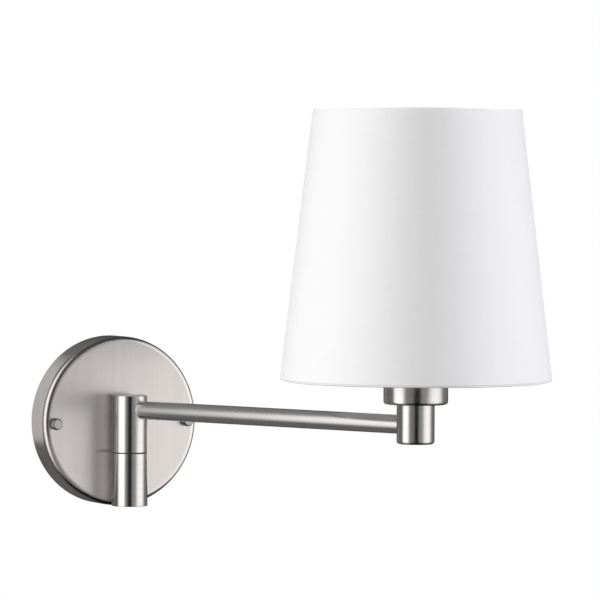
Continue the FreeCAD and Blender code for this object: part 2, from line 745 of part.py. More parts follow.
def make_shade_ring():
    """The threaded ring that clamps the shade's fitter down on the cup."""
    bore = "holder_radius + running_gap"
    body = turned("shade_ring", [
        (bore, "clamp_foot"), ("clamp_radius", "clamp_foot"), ("clamp_radius", "clamp_foot + 1.6"),
        ("clamp_radius - 1.6", "clamp_foot + 1.6"), ("clamp_radius - 1.6", "clamp_head"), (bore, "clamp_head"),
    ])
    keep(on_lamp(body), "shade_ring")


# ---- shade ----

def shade_radius(height, depth):
    """The shade's radius at a height, at a depth inside its outer surface."""
    slope = "(shade_foot_radius - shade_head_radius) / (shade_head - shade_foot)"
    return f"shade_foot_radius - ({height} - shade_foot) * {slope} - ({depth})"


def make_shade_skin(name, outer_depth, thickness):
    """A thin conical shell between two depths inside the shade's outer surface."""
    inner_depth = f"{outer_depth} + {thickness}"
    body = turned(name, [
        (shade_radius("shade_foot", inner_depth), "shade_foot"),
        (shade_radius("shade_foot", outer_depth), "shade_foot"),
        (shade_radius("shade_head", outer_depth), "shade_head"),
        (shade_radius("shade_head", inner_depth), "shade_head"),
    ])
    keep(on_lamp(body), name)


HOOP_DEPTH = "fabric_thickness + liner_thickness + 1.1 * hoop_wire"


def hoop(edge_height, inward):
    """A wire hoop just inside the liner. Inward is the way from the shade's edge to its middle."""
    height = f"({edge_height} {inward} hoop_inset)"
    radius = shade_radius(height, HOOP_DEPTH)
    ring = doc.addObject("Part::Torus", "Hoop")
    bind(ring, {"Radius1": radius, "Radius2": "hoop_wire", "Placement.Base.z": height})
    return ring


def make_shade_frame():
    keep(on_lamp(hoop("shade_head", "-")), "shade_top_hoop")
    keep(on_lamp(hoop("shade_foot", "+")), "shade_bottom_hoop")

    plate = cut(cylinder("fitter_radius", "cup_head", "cup_head + fitter_thickness"),
                cylinder("fitter_bore", "cup_head - 1", "cup_head + 2"))
    low = "(shade_foot + hoop_inset)"
    high = "(cup_head + fitter_thickness / 2)"
    start = "(fitter_radius - spoke_wire)"
    run = f"({shade_radius(low, HOOP_DEPTH)} - {start})"
    drop = f"({high} - {low})"
    spokes = []
    for turn in (30, 150, 270):
        spoke = doc.addObject("Part::Cylinder", "Spoke")
        heading = FreeCAD.Rotation(Vector(0, 0, 1), turn)
        lean = FreeCAD.Rotation(Vector(0, 1, 0), 90 + math.degrees(math.atan2(size(drop), size(run))))
        spoke.Placement = FreeCAD.Placement(Vector(0, 0, 0), heading.multiply(lean))
        bind(spoke, {
            "Radius": "spoke_wire",
            "Height": f"sqrt({run} ^ 2 + {drop} ^ 2)",
            "Placement.Base.x": f"{start} * cos({turn})",
            "Placement.Base.y": f"{start} * sin({turn})",
            "Placement.Base.z": high,
        })
        spokes.append(spoke)
    keep(on_lamp(cut(fused([plate] + spokes), hoop("shade_foot", "+"))), "shade_fitter")


# ---- bulb ----

def globe(depth):
    """The bulb's solid outline, drawn a depth inside its outer surface."""
    ball = f"(bulb_radius - {depth})"
    neck = f"(bulb_neck_radius - {depth})"
    rise = f"(({ball} * cos(bulb_taper) - {neck}) / tan(bulb_taper))"
    centre = f"(bulb_neck_head + {rise} + {ball} * sin(bulb_taper))"
    sphere = doc.addObject("Part::Sphere", "Globe")
    bind(sphere, {"Radius": ball, "Placement.Base.z": centre})
    taper = cone(neck, f"{ball} * cos(bulb_taper)", "bulb_neck_head", f"bulb_neck_head + {rise}")
    straight = cylinder(neck, "bulb_base_head - 4", "bulb_neck_head")
    return fused([sphere, taper, straight])


def make_bulb():
    keep(on_lamp(cut(globe("0"), globe("bulb_glass"))), "bulb_glass")

    wall = "0.4"
    base = turned("bulb_base", [
        (f"bulb_base_radius - {wall}", "bulb_base_foot"), ("bulb_base_radius", "bulb_base_foot"),
        ("bulb_base_radius", "bulb_base_head"), (f"bulb_base_radius - {wall}", "bulb_base_head"),
    ])
    keep(on_lamp(base), "bulb_base")

    inner = f"bulb_base_radius - {wall} - 0.05"
    contact = turned("bulb_contact", [
        ("0", "bulb_contact_foot"), ("3", "bulb_contact_foot"), ("4.5", "bulb_insulator_foot"),
        (inner, "bulb_base_foot"), (inner, "bulb_base_foot + 2"), ("0", "bulb_base_foot + 2"),
    ])
    keep(on_lamp(contact), "bulb_contact")


# ---- wiring ----

def make_wiring():
    drop = size("nipple_drop")
    offset = size("post_offset")
    depth = size("cable_depth")
    joint = size("cable_joint")
    tail = size("cable_tail")
    cable = size("cable_radius")
    supply = bent_tube("supply", [
        Vector(0, -offset, joint), Vector(0, -offset, drop), Vector(0, -14.8, drop),
    ], size("cable_bend"), cable)
    bend = 4.5
    behind = bent_tube("behind", [
        Vector(0, -14.8, drop), Vector(0, -depth, drop), Vector(0, -depth, tail),
    ], bend, cable)
    keep(fused([supply, behind]), "supply_cable")

    spread = size("connector_spread")
    foot = size("connector_foot")
    cores = []
    for side in (-1, 1):
        cores.append(bent_tube("core", [
            Vector(side * 1.1, -depth, tail),
            Vector(side * 1.1, -depth, tail + 5),
            Vector(side * spread, -7, foot - 7),
            Vector(side * spread, -7, foot),
        ], 4, size("core_radius")))
    keep(grouped(cores), "supply_cores")

    connectors = []
    for side in (-1, 1):
        shell = cone("connector_radius", "connector_tip", "connector_foot", "connector_foot + connector_length")
        bind(shell, {"Placement.Base.x": f"{side} * connector_spread"})
        shell.Placement.Base.y = -7
        connectors.append(shell)
    keep(grouped(connectors), "wire_connectors")

    reach = size("arm_reach")
    height = size("arm_height")
    arm = bent_tube("arm", [
        Vector(0, 0, joint + 0.3), Vector(0, 0, height), Vector(0, -reach, height), Vector(0, -reach, 35.5),
    ], size("cable_bend"), cable)
    keep(on_arm(arm), "arm_cable")


def check_and_write():
    """Stops on any failed object, then writes one file for each piece."""
    doc.recompute()
    for thing in doc.Objects:
        if {"Invalid", "Error"} & set(thing.State):
            raise RuntimeError(f"{thing.Name} ({thing.Label}) failed: {thing.State}")
    for piece in pieces:
        if piece.Shape.isNull() or not piece.Shape.isValid() or not piece.Shape.Solids:
            raise RuntimeError(f"{piece.Label} has no valid solid")
    os.makedirs("parts", exist_ok=True)
    for piece in pieces:
        piece.Shape.exportStep(f"parts/{piece.Label}.step")
        print(piece.Label, len(piece.Shape.Solids), round(piece.Shape.Volume, 1))


dims = write_sheet()

make_canopy()
make_mounting_bar()
make_canopy_fasteners()
make_ground()
make_post_nipple()
make_lower_post()
make_swivel_seat()
make_upper_post()
make_pivot()
make_arm()
make_end_post()
make_socket_cup()
make_lamp_holder()
make_shade_ring()
make_shade_frame()
make_shade_skin("shade_liner", "fabric_thickness", "liner_thickness")
make_shade_skin("shade_fabric", "0", "fabric_thickness")
make_bulb()
make_wiring()
check_and_write()
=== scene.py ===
"""Looks for the swing arm wall sconce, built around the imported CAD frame. Lengths are in metres."""
import json
import math

import bmesh
import bpy
from mathutils import Matrix, Vector


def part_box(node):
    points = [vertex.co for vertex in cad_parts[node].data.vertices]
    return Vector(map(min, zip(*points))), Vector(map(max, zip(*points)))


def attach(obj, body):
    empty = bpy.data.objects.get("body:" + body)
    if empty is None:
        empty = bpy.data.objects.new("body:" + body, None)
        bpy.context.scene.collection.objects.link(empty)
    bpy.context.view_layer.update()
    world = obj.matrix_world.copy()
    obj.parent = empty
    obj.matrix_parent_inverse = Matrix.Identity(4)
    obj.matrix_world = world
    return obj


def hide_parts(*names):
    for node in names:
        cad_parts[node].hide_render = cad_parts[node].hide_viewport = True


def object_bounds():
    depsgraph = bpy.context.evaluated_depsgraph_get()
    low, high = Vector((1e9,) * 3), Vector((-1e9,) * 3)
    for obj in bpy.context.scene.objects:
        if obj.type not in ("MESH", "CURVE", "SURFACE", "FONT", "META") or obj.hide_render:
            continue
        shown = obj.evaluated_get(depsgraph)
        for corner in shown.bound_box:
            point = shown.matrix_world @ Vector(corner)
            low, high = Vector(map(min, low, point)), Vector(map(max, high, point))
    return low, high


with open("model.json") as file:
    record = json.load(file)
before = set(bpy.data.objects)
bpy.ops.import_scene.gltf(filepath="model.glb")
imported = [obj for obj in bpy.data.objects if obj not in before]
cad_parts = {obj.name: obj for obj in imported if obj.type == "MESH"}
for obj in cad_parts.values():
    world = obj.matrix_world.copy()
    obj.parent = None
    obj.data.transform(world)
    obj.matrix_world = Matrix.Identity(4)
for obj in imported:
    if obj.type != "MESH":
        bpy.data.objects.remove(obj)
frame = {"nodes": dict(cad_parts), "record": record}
cad_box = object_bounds()
nodes = frame["nodes"]


# ---- node helpers ----

def material(name):
    """A new material with an empty node tree: gives it, its tree and its output node."""
    made = bpy.data.materials.new(name)
    made.use_nodes = True
    made.node_tree.nodes.clear()
    return made, made.node_tree, made.node_tree.nodes.new("ShaderNodeOutputMaterial")


def add(tree, kind, settings=(), inputs=()):
    """Adds a node. Inputs are numbers, colours or the output sockets that feed them."""
    node = tree.nodes.new(kind)
    for key, value in dict(settings).items():
        setattr(node, key, value)
    for key, value in dict(inputs).items():
        if isinstance(value, bpy.types.NodeSocket):
            tree.links.new(value, node.inputs[key])
        else:
            node.inputs[key].default_value = value
    return node


def work_out(tree, operation, *values):
    """The result of a Math node."""
    return add(tree, "ShaderNodeMath", {"operation": operation}, dict(enumerate(values))).outputs[0]


def vector_math(tree, operation, *values):
    """A Vector Math node, which gives a vector or a value."""
    return add(tree, "ShaderNodeVectorMath", {"operation": operation}, dict(enumerate(values)))


def stretched(tree, place, scale):
    """A place multiplied by a scale for each axis."""
    return add(tree, "ShaderNodeMapping", inputs={"Vector": place, "Scale": scale}).outputs[0]


def coordinates(tree, scale):
    """Object coordinates multiplied by a scale for each axis."""
    return stretched(tree, add(tree, "ShaderNodeTexCoord").outputs["Object"], scale)


def noise(tree, where, detail, roughness=0.55):
    return add(tree, "ShaderNodeTexNoise", inputs={
        "Vector": where, "Scale": 1.0, "Detail": detail, "Roughness": roughness,
    }).outputs["Fac"]


def spread(tree, value, low, high, start=0.0, end=1.0):
    """Maps a value from start..end to low..high."""
    return add(tree, "ShaderNodeMapRange", inputs={
        "Value": value, "From Min": start, "From Max": end, "To Min": low, "To Max": high,
    }).outputs[0]


def fade(tree, value, start, end, strength=1):
    """Falls smoothly from a strength to nothing while a value goes from start to end."""
    return add(tree, "ShaderNodeMapRange", {"interpolation_type": "SMOOTHSTEP"}, {
        "Value": value, "From Min": start, "From Max": end, "To Min": strength, "To Max": 0,
    }).outputs[0]


def tint(tree, value, low, high):
    """A colour between a fixed one and a second, which may come from a socket."""
    second = high if isinstance(high, bpy.types.NodeSocket) else (*high, 1)
    return add(tree, "ShaderNodeMix", {"data_type": "RGBA"}, {
        0: value, "A": (*low, 1), "B": second,
    }).outputs["Result"]


def bump(tree, height, distance, strength):
    return add(tree, "ShaderNodeBump", inputs={
        "Height": height, "Distance": distance, "Strength": strength,
    }).outputs[0]


def plain_surface(name, inputs):
    """A material of one Principled shader: gives it, its tree and the shader."""
    made, tree, output = material(name)
    shader = add(tree, "ShaderNodeBsdfPrincipled", inputs=inputs)
    tree.links.new(shader.outputs[0], output.inputs["Surface"])
    return made, tree, shader


def feed(tree, shader, **sources):
    """Links sockets to the Principled shader's inputs, by short names."""
    names = {"color": "Base Color", "roughness": "Roughness", "normal": "Normal", "tangent": "Tangent"}
    for key, source in sources.items():
        tree.links.new(source, shader.inputs[names[key]])


# ---- metals ----

NOISE_RANGE = (0.3, 0.7)  # where most of a noise lies
TONE_RANGE = (0.45, 1.05)  # of half the fine noise and all of the broad one
SMEAR_RANGE = (0.6, 1.4)  # of two noises together
BROAD_SHARE = 0.12  # frequency of the broad streaks, as a share of the fine lines'
CLOUD_GRAIN = (18, 18, 18)  # slow change of roughness, per metre
MOTTLE_GRAIN = (90, 90, 90)
EDGE_POLISH = 0.7  # roughness beside a brushed face, as a share of the face's own
EDGE_ANISOTROPY = 0.1
FACE_STARTS = 0.90  # cosine of a surface's angle to the face's direction, where the brushing starts
FACE_IS_FULL = 0.985


def brushed_metal(name, low, high, grain, roughness, scratch, anisotropy=0.0, across=None, face=None):
    """Metal with fine brush lines. Grain is the frequency of the lines along each axis, per metre.

    Where a face direction is given, highlights are drawn out on surfaces that face that way, and the
    rest, such as a rounded edge, is smoother."""
    made, tree, shader = plain_surface(name, {"Metallic": 1.0, "Anisotropic": anisotropy})
    fine = noise(tree, coordinates(tree, grain), detail=3.0, roughness=0.6)
    broad = noise(tree, coordinates(tree, [BROAD_SHARE * rate for rate in grain]), detail=2.0)
    cloud = noise(tree, coordinates(tree, CLOUD_GRAIN), detail=3.0)
    tone = work_out(tree, "MULTIPLY_ADD", fine, 0.5, broad)
    feed(tree, shader, color=tint(tree, spread(tree, tone, 0, 1, *TONE_RANGE), low, high))
    smear = work_out(tree, "ADD", fine, cloud)
    dull = spread(tree, smear, *roughness, *SMEAR_RANGE)
    if face:
        normal = add(tree, "ShaderNodeNewGeometry").outputs["Normal"]
        facing = vector_math(tree, "DOT_PRODUCT", normal, face).outputs["Value"]
        brushed = spread(tree, facing, 0, 1, FACE_STARTS, FACE_IS_FULL)
        drawn_out = spread(tree, brushed, EDGE_ANISOTROPY, anisotropy)
        tree.links.new(drawn_out, shader.inputs["Anisotropic"])
        dull = work_out(tree, "MULTIPLY", dull, spread(tree, brushed, EDGE_POLISH, 1))
    feed(tree, shader, roughness=dull)
    feed(tree, shader, normal=bump(tree, fine, scratch, 0.5))
    if across:
        line = add(tree, "ShaderNodeCombineXYZ", inputs=dict(enumerate(across)))
        feed(tree, shader, tangent=line.outputs[0])
    return made


def smooth_metal(name, low, high, roughness):
    """Bright plated metal with a faint mottle."""
    made, tree, shader = plain_surface(name, {"Metallic": 1.0})
    mottle = noise(tree, coordinates(tree, MOTTLE_GRAIN), detail=5.0)
    feed(tree, shader, color=tint(tree, mottle, low, high))
    feed(tree, shader, roughness=spread(tree, mottle, *roughness, *NOISE_RANGE))
    feed(tree, shader, normal=bump(tree, mottle, 0.00002, 0.3))
    return made


# ---- plastics, glass and cloth ----

MOULD_GRAIN = (900, 900, 900)
MOULD_CLOUD = (40, 40, 40)
FROST_GRAIN = (1400, 1400, 1400)

CLOTH_THICKNESS = 0.0005
ROLL = 0.0017  # radius of the roll over a hoop, at the middle of the cloth
TUCK = 0.007  # how far the cloth goes back up or down behind a hoop
THREADS_PER_METRE = 1800
CLOTH_DARK = (0.86, 0.86, 0.87)
CLOTH_LIGHT = (0.93, 0.93, 0.93)
TRANSLUCENT_SHARE = 0.18

# Painted shade: a dark line along the lower fold, where the hem's underside is in shadow. FOLD_RUN is the
# fold's place on the flat cloth.
FOLD_RUN = TUCK - ROLL - CLOTH_THICKNESS / 2 + ROLL * math.pi / 2
FOLD_SHADE_COLOR = (0.17, 0.175, 0.18)
FOLD_SHADE_FULL = 0.0012  # the line is full this near the fold
FOLD_SHADE_GONE = 0.0026


def moulded(name, low, high, roughness):
    """Moulded plastic, ceramic or rubber with a fine surface grain."""
    made, tree, shader = plain_surface(name, {"Specular IOR Level": 0.5})
    speckle = noise(tree, coordinates(tree, MOULD_GRAIN), detail=3.0)
    cloud = noise(tree, coordinates(tree, MOULD_CLOUD), detail=3.0)
    feed(tree, shader, color=tint(tree, cloud, low, high))
    feed(tree, shader, roughness=spread(tree, speckle, *roughness, *NOISE_RANGE))
    feed(tree, shader, normal=bump(tree, speckle, 0.00004, 0.35))
    return made


def frosted_glass(name):
    made, tree, shader = plain_surface(name, {
        "IOR": 1.45, "Subsurface Weight": 0.25, "Subsurface Scale": 0.004, "Coat Weight": 0.4,
        "Coat Roughness": 0.05, "Subsurface Radius": (1, 1, 1),
    })
    frost = noise(tree, coordinates(tree, FROST_GRAIN), detail=2.0)
    feed(tree, shader, color=tint(tree, frost, (0.86, 0.86, 0.85), (0.93, 0.93, 0.92)))
    feed(tree, shader, roughness=spread(tree, frost, 0.22, 0.34, *NOISE_RANGE))
    return made


def thread_lines(tree, place, turn):
    """The threads of one direction, with slubs along them. The turn is in degrees."""
    way = add(tree, "ShaderNodeVectorRotate", {"rotation_type": "Z_AXIS"},
              {"Vector": place, "Angle": math.radians(turn)}).outputs[0]
    slub = noise(tree, stretched(tree, way, (THREADS_PER_METRE * 0.5, 60, 1)), detail=2.0)
    line = add(tree, "ShaderNodeTexWave", {"bands_direction": "X"}, {
        "Vector": way, "Scale": THREADS_PER_METRE * math.pi / 10, "Distortion": 0.6,
        "Detail": 1.0, "Detail Scale": 0.6,
    }).outputs["Fac"]
    return work_out(tree, "MULTIPLY", slub, line)


def woven_cloth(name):
    """White linen: warp and weft threads over the sheet's own UV map, which is in metres, with a line of
    painted shade along the lower fold.
    """
    made, tree, output = material(name)
    place = add(tree, "ShaderNodeUVMap", {"uv_map": "sheet"}).outputs[0]
    weave = work_out(tree, "ADD", thread_lines(tree, place, 0), thread_lines(tree, place, 90))
    shader = add(tree, "ShaderNodeBsdfPrincipled", inputs={
        "Roughness": 0.9, "Sheen Weight": 0.15, "Sheen Roughness": 0.5, "Specular IOR Level": 0.25,
    })
    threads_color = tint(tree, spread(tree, weave, 0, 1, 0.2, 0.8), CLOTH_DARK, CLOTH_LIGHT)
    run = add(tree, "ShaderNodeSeparateXYZ", inputs={0: place}).outputs["Y"]
    # painted shade: the cloth's colour darkens near the lower fold, standing in for the hem's shadow
    from_fold = work_out(tree, "ABSOLUTE", work_out(tree, "SUBTRACT", run, FOLD_RUN))
    past_fold_shade = spread(tree, from_fold, 0, 1, FOLD_SHADE_FULL, FOLD_SHADE_GONE)
    feed(tree, shader, color=tint(tree, past_fold_shade, FOLD_SHADE_COLOR, threads_color))
    feed(tree, shader, normal=bump(tree, weave, 0.00012, 0.5))
    through = add(tree, "ShaderNodeBsdfTranslucent", inputs={"Color": (0.93, 0.93, 0.92, 1)})
    mix = add(tree, "ShaderNodeMixShader", inputs={
        0: TRANSLUCENT_SHARE, 1: shader.outputs[0], 2: through.outputs[0],
    })
    tree.links.new(mix.outputs[0], output.inputs["Surface"])
    return made


# ---- finishes ----

# Painted shade: the canopy's plate is the same nickel as the posts, given darker colours so that its face
# looks shaded.
SHADED_PLATE = brushed_metal(
    "brushed_nickel", low=(0.500, 0.477, 0.466), high=(0.538, 0.515, 0.504), grain=(3200, 3200, 40),
    roughness=(0.30, 0.36), scratch=0.000006, anisotropy=0.75, across=(1, 0, 0), face=(0, -1, 0))
NICKEL = brushed_metal(
    "satin_nickel", low=(0.61, 0.595, 0.585), high=(0.66, 0.64, 0.625), grain=(60, 60, 3000),
    roughness=(0.21, 0.26), scratch=0.000003, anisotropy=0.4, across=(0, 0, 1))
ARM_NICKEL = brushed_metal(
    "satin_nickel_arm", low=(0.58, 0.565, 0.555), high=(0.68, 0.66, 0.645), grain=(60, 60, 60),
    roughness=(0.25, 0.29), scratch=0.000002)
# Painted shade: the cap nuts are the same nickel, given darker colours so that they look shaded.
SHADED_NUT_NICKEL = brushed_metal(
    "shaded_satin_nickel_nuts", low=(0.33, 0.32, 0.31), high=(0.40, 0.385, 0.375), grain=(900, 900, 900),
    roughness=(0.18, 0.26), scratch=0.000004)

# Each has its darker colour, its lighter colour and its range of roughness.
SMOOTH_METALS = {
    "zinc_steel": ((0.55, 0.57, 0.60), (0.70, 0.70, 0.68), (0.25, 0.42)),
    "copper_wire": ((0.62, 0.33, 0.20), (0.80, 0.46, 0.30), (0.25, 0.4)),
    "shell_brass": ((0.66, 0.48, 0.20), (0.80, 0.62, 0.30), (0.22, 0.38)),
    "bulb_metal": ((0.66, 0.65, 0.63), (0.80, 0.79, 0.77), (0.18, 0.3)),
    "green_screw": ((0.02, 0.22, 0.07), (0.05, 0.38, 0.12), (0.25, 0.4)),
}
MOULDED = {
    "nylon": ((0.80, 0.78, 0.72), (0.87, 0.86, 0.81), (0.4, 0.5)),
    "black_washer": ((0.012, 0.012, 0.012), (0.03, 0.03, 0.03), (0.6, 0.8)),
    "cable_jacket": ((0.78, 0.78, 0.76), (0.86, 0.86, 0.84), (0.35, 0.45)),
    "connector_shell": ((0.80, 0.27, 0.03), (0.88, 0.36, 0.06), (0.3, 0.4)),
    "white_phenolic": ((0.82, 0.81, 0.78), (0.89, 0.88, 0.85), (0.22, 0.32)),
    "porcelain": ((0.84, 0.83, 0.80), (0.92, 0.91, 0.88), (0.12, 0.2)),
    "white_wire": ((0.84, 0.84, 0.83), (0.91, 0.91, 0.90), (0.25, 0.35)),
    "liner_plastic": ((0.88, 0.88, 0.87), (0.93, 0.93, 0.92), (0.45, 0.6)),
    "bulb_insulator": ((0.01, 0.01, 0.012), (0.03, 0.03, 0.032), (0.12, 0.2)),
}

FINISHES = {"brushed_nickel": SHADED_PLATE, "satin_nickel": NICKEL}
FINISHES.update({name: smooth_metal(name, *look) for name, look in SMOOTH_METALS.items()})
FINISHES.update({name: moulded(name, *look) for name, look in MOULDED.items()})
FINISHES["frosted_glass"] = frosted_glass("frosted_glass")
FINISHES["shade_cloth"] = woven_cloth("shade_cloth")

# Nodes that share a slot with others but get a material of their own. The cap nuts' one is a darker copy of
# the nickel, as painted shade.
SPECIAL_FINISHES = {"arm_tube": ARM_NICKEL, "cap_nuts": SHADED_NUT_NICKEL}


def finish_cad_nodes():
    """Gives every CAD node the detailed material of its slot, or its own one."""
    for part in frame["record"]["subparts"]:
        node = nodes[part["node"]]
        chosen = SPECIAL_FINISHES.get(part["node"], FINISHES[part["material_slot"]])
        node.data.materials.clear()
        node.data.materials.append(chosen)


# ---- shade ----

HEM_DROP = 0.0005  # the cloth's lower edge is this far below the CAD fabric's
HEAD_TO_FOOT = 69.5 / 91  # the shade's upper radius over its lower one
SEAM_AZIMUTH = math.radians(90)  # the wall side
SEAM_OVERLAP = 0.012
SEAM_RAMP = 0.004  # length over which the lap rises off the cloth under it
LAP_LIFT = 1.1 * CLOTH_THICKNESS
BEND_STEPS = 8  # steps round the half circle of a roll
RISE_STEPS = 24  # steps up the cone between the rolls
AROUND_STEPS = 240


def shade_profile(foot_radius, head_radius, foot, head):
    """The cloth's section from the tuck behind the foot hoop to the one behind the head hoop.

    Each point has its radius, its height and the side that faces away from the liner and hoops."""
    slope = (foot_radius - head_radius) / (head - foot)

    def middle_line(height):
        return foot_radius - (height - foot) * slope - CLOTH_THICKNESS / 2

    ends = []
    for edge, away in ((foot, 1), (head, -1)):
        centre = edge + away * (ROLL + CLOTH_THICKNESS / 2)
        wire = middle_line(centre) - ROLL
        points = [(wire - ROLL, edge + away * TUCK, -1.0, 0.0)]
        for step in range(BEND_STEPS + 1):
            angle = math.pi * step / BEND_STEPS
            out, down = -math.cos(angle), -away * math.sin(angle)
            points.append((wire + ROLL * out, centre + ROLL * down, out, down))
        ends.append(points)
    low, high = ends[0][-1][1], ends[1][-1][1]
    heights = [low + (high - low) * step / RISE_STEPS for step in range(1, RISE_STEPS)]
    middle = [(middle_line(height), height, 1.0, 0.0) for height in heights]
    return ends[0] + middle + ends[1][::-1]


def seam_lift(along, whole):
    """How far the cloth stands off where its end lies over its start."""
    past = (along - whole + SEAM_RAMP) / SEAM_RAMP
    return LAP_LIFT * min(1.0, max(0.0, past))


def wrapped_sheet(name, profile, axis):
    """Wraps the profile once round the axis with a lapped seam. The UV map is the flat cloth, in metres."""
    body = bmesh.new()
    layer = body.loops.layers.uv.new("sheet")
    runs = [0.0]
    for before, after in zip(profile, profile[1:]):
        runs.append(runs[-1] + math.dist(before[:2], after[:2]))
    mean_radius = sum(point[0] for point in profile) / len(profile)
    whole = math.tau * mean_radius
    length = whole + SEAM_OVERLAP
    columns = []
    for step in range(AROUND_STEPS + 1):
        along = length * step / AROUND_STEPS
        angle = SEAM_AZIMUTH + along / mean_radius
        lift = seam_lift(along, whole)
        column = []
        for radius, height, out, up in profile:
            reach = radius + lift * out
            column.append(body.verts.new((
                axis.x + reach * math.cos(angle), axis.y + reach * math.sin(angle), height + lift * up,
            )))
        columns.append((along, column))
    for (start, left), (end, right) in zip(columns, columns[1:]):
        for row in range(len(profile) - 1):
            face = body.faces.new((left[row], right[row], right[row + 1], left[row + 1]))
            spots = ((start, runs[row]), (end, runs[row]), (end, runs[row + 1]), (start, runs[row + 1]))
            for loop, spot in zip(face.loops, spots):
                loop[layer].uv = spot
            face.smooth = True
    mesh = bpy.data.meshes.new(name)
    body.to_mesh(mesh)
    body.free()
    made = bpy.data.objects.new(name, mesh)
    bpy.context.scene.collection.objects.link(made)
    return made


def make_shade_cover():
    """The fabric: up the outside of the liner, and rolled over a hoop at each edge."""
    low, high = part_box("shade_fabric")
    axis = Vector(((low.x + high.x) / 2, (low.y + high.y) / 2, 0))
    foot_radius = (high.x - low.x) / 2
    head_radius = HEAD_TO_FOOT * foot_radius
    profile = shade_profile(foot_radius, head_radius, low.z - HEM_DROP, high.z)
    cover = wrapped_sheet("shade_cover", profile, axis)
    solid = cover.modifiers.new("thickness", "SOLIDIFY")
    solid.thickness = CLOTH_THICKNESS
    solid.offset = 0
    cover.data.materials.append(FINISHES["shade_cloth"])
    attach(cover, "arm")
    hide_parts("shade_fabric")


# ---- camera ----

# The view that was fitted to the photograph. Angles are in degrees, and the lens is in millimetres.
VIEW_AZIMUTH = -28.46
VIEW_ELEVATION = 1.90
VIEW_ROLL = 0.286
VIEW_DISTANCE = 2.9366
VIEW_TARGET = Vector((0.12278, -0.060, 0.08568))
LENS = 246.7
SENSOR_WIDTH = 36
CLIP_END = 50


def make_camera():
    data = bpy.data.cameras.new("camera")
    data.lens = LENS
    data.sensor_width = SENSOR_WIDTH
    data.clip_end = CLIP_END
    camera = bpy.data.objects.new("camera", data)
    bpy.context.scene.collection.objects.link(camera)
    turn, rise, roll = (math.radians(x) for x in (VIEW_AZIMUTH, VIEW_ELEVATION, VIEW_ROLL))
    back = Vector((math.sin(turn) * math.cos(rise), -math.cos(turn) * math.cos(rise), math.sin(rise)))
    right = (-back).cross(Vector((0, 0, 1))).normalized()
    up = right.cross(-back)
    level_right = right * math.cos(roll) + up * math.sin(roll)
    level_up = up * math.cos(roll) - right * math.sin(roll)
    turned = Matrix((level_right, level_up, back)).transposed().to_4x4()
    camera.matrix_world = Matrix.Translation(VIEW_TARGET + back * VIEW_DISTANCE) @ turned
    bpy.context.scene.camera = camera


def direction(azimuth):
    """A level unit vector. An azimuth of 0 points from the lamp to the photograph's viewer.

    It is in degrees, and positive towards the viewer's right."""
    turn = math.radians(VIEW_AZIMUTH + azimuth)
    return Vector((math.sin(turn), -math.cos(turn), 0))


# ---- lights ----

LIT_POINT = Vector((0.08, -0.22, 0.10))  # what the fill lights are turned to
SOFTBOX_TARGET = Vector((0, -0.035, 0))  # close to the axis of the wall posts
SOFTBOX_STRENGTH = 26.5
# Distances from the softbox's middle, as shares of its side: where its light starts to fade, and ends.
SOFTBOX_FADES = {"X": (0.18, 0.46), "Y": (0.04, 0.50)}
WARM_WHITE = (1, 0.995, 0.99, 1)
PANEL_WHITE = (1, 0.98, 0.97)


def area_light(name, target, azimuth, distance, height, size, power):
    """A rectangular light, turned to a target and unseen by the camera."""
    data = bpy.data.lights.new(name, "AREA")
    data.shape = "RECTANGLE"
    data.size, data.size_y = size
    data.energy = power
    light = bpy.data.objects.new(name, data)
    light.location = target + direction(azimuth) * distance + Vector((0, 0, height))
    light.rotation_mode = "QUATERNION"
    light.rotation_quaternion = (target - light.location).to_track_quat("-Z", "Y")
    light.visible_camera = False
    bpy.context.scene.collection.objects.link(light)
    return light


def fill_light(name, color=(1, 1, 1), **placing):
    """A large softbox that lights matt surfaces. Reflections show the painted studio in its place."""
    light = area_light(name, LIT_POINT, **placing)
    light.data.color = color
    light.visible_glossy = False


def make_fill_lights():
    square, tall = (1.0, 1.0), (0.5, 1.4)
    fill_light("front_fill", azimuth=0, height=0.2, distance=2.0, size=square, power=24)
    fill_light("left_fill", azimuth=-78, height=0.1, distance=1.6, size=tall, power=26.5)
    fill_light("right_fill", azimuth=85, height=0.1, distance=1.6, size=tall, power=24.5,
               color=(0.985, 0.975, 1.03))
    fill_light("back_fill", azimuth=180, height=0.5, distance=2.0, size=square, power=14)
    fill_light("top_fill", azimuth=0, height=1.6, distance=0.01, size=square, power=9)
    fill_light("under_fill", azimuth=0, height=-1.5, distance=0.01, size=square, power=22)


def make_left_softbox():
    """A tall panel that fades towards its edges. It stands near the lamp, and only reflections show it."""
    light = area_light("left_softbox", SOFTBOX_TARGET, azimuth=-52, distance=0.9, height=0.15,
                       size=(1.2, 4.0), power=1)
    light.visible_diffuse = False
    light.data.use_nodes = True
    tree = light.data.node_tree
    tree.nodes.clear()
    place = add(tree, "ShaderNodeNewGeometry").outputs["Parametric"]
    offset = vector_math(tree, "SUBTRACT", place, (0.5, 0.5, 0)).outputs[0]
    apart = add(tree, "ShaderNodeSeparateXYZ", inputs={0: offset})
    fades = []
    for axis, (flat, gone) in SOFTBOX_FADES.items():
        fades.append(fade(tree, work_out(tree, "ABSOLUTE", apart.outputs[axis]), flat, gone))
    level = work_out(tree, "MULTIPLY", work_out(tree, "MULTIPLY", *fades), SOFTBOX_STRENGTH)
    emit = add(tree, "ShaderNodeEmission", inputs={"Color": WARM_WHITE, "Strength": level})
    output = add(tree, "ShaderNodeOutputLight")
    tree.links.new(emit.outputs[0], output.inputs["Surface"])


def canopy_panel(name, target, color, **placing):
    """A panel near the wall canopy that only the canopy reflects."""
    light = area_light(name, target, **placing)
    light.data.color = color
    light.visible_diffuse = False
    seen_by = bpy.data.collections.new(name)
    seen_by.objects.link(nodes["canopy"])
    light.light_linking.receiver_collection = seen_by


